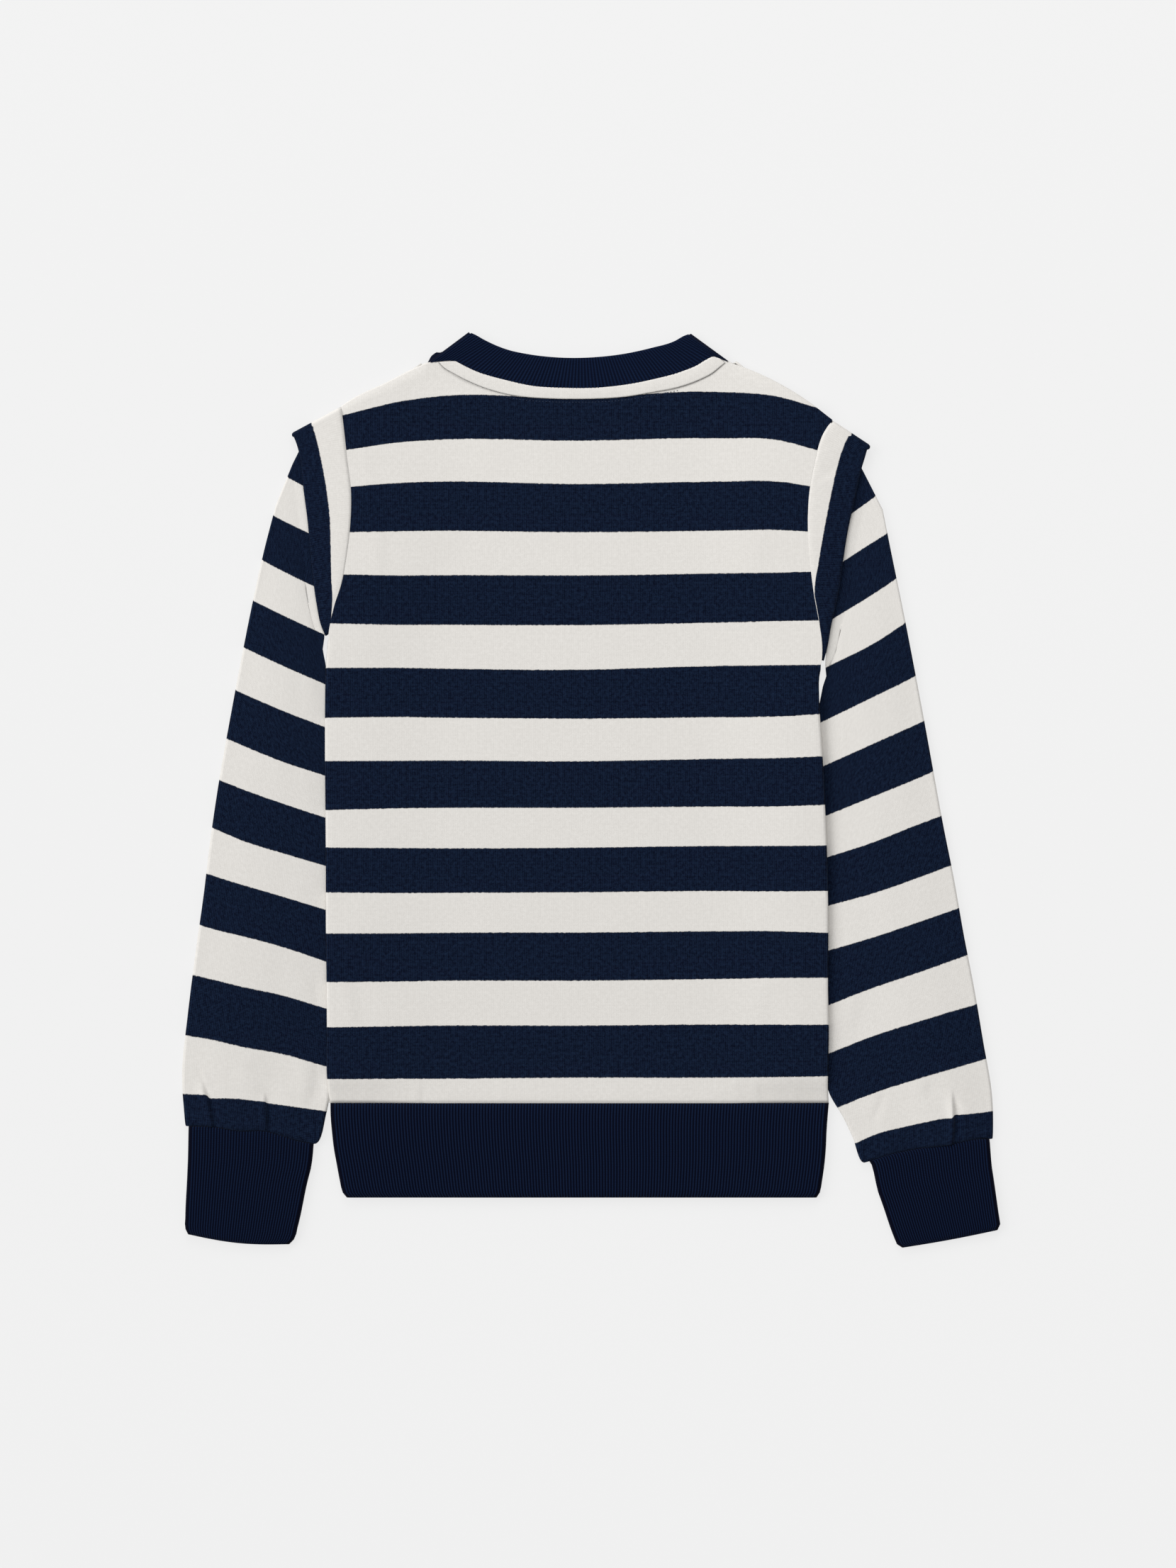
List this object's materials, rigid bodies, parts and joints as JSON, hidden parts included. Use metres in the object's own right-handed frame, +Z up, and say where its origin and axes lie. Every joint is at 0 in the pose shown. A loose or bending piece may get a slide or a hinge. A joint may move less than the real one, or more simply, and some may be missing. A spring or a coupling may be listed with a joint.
{
  "type": "striped sweatshirt",
  "caption": "Long-sleeved striped sweatshirt with ribbed neckband, cuffs and hem and a flange over each sleeve head, laid flat back side up.",
  "frame": {"origin": "centre of the part's box at its base, on the surface it lies on", "axes": "+X to the right across the back as seen from above, +Y towards the neck, +Z up from the surface to the back side"},
  "size_m": [0.5434, 0.606, 0.0092],
  "materials": {
    "back_panel": "soft fleece-backed jersey, off-white with navy stripes",
    "front_panel": "soft fleece-backed jersey, off-white with navy stripes",
    "sleeve_left": "soft fleece-backed jersey, off-white with navy stripes",
    "sleeve_right": "soft fleece-backed jersey, off-white with navy stripes",
    "flange_left": "soft jersey, off-white by the seam and navy at the free edge",
    "flange_right": "soft jersey, off-white by the seam and navy at the free edge",
    "neckband": "navy rib knit",
    "back_neck_strip": "off-white jersey",
    "hem_band": "navy rib knit",
    "cuff_left": "navy rib knit",
    "cuff_right": "navy rib knit"
  },
  "bodies": {
    "root": {"back_panel": "back_panel", "front_panel": "front_panel", "sleeve_left": "sleeve_left", "sleeve_right": "sleeve_right", "flange_left": "flange_left", "flange_right": "flange_right", "neckband": "neckband", "back_neck_strip": "back_neck_strip", "hem_band": "hem_band", "cuff_left": "cuff_left", "cuff_right": "cuff_right"}
  },
  "joints": []
}
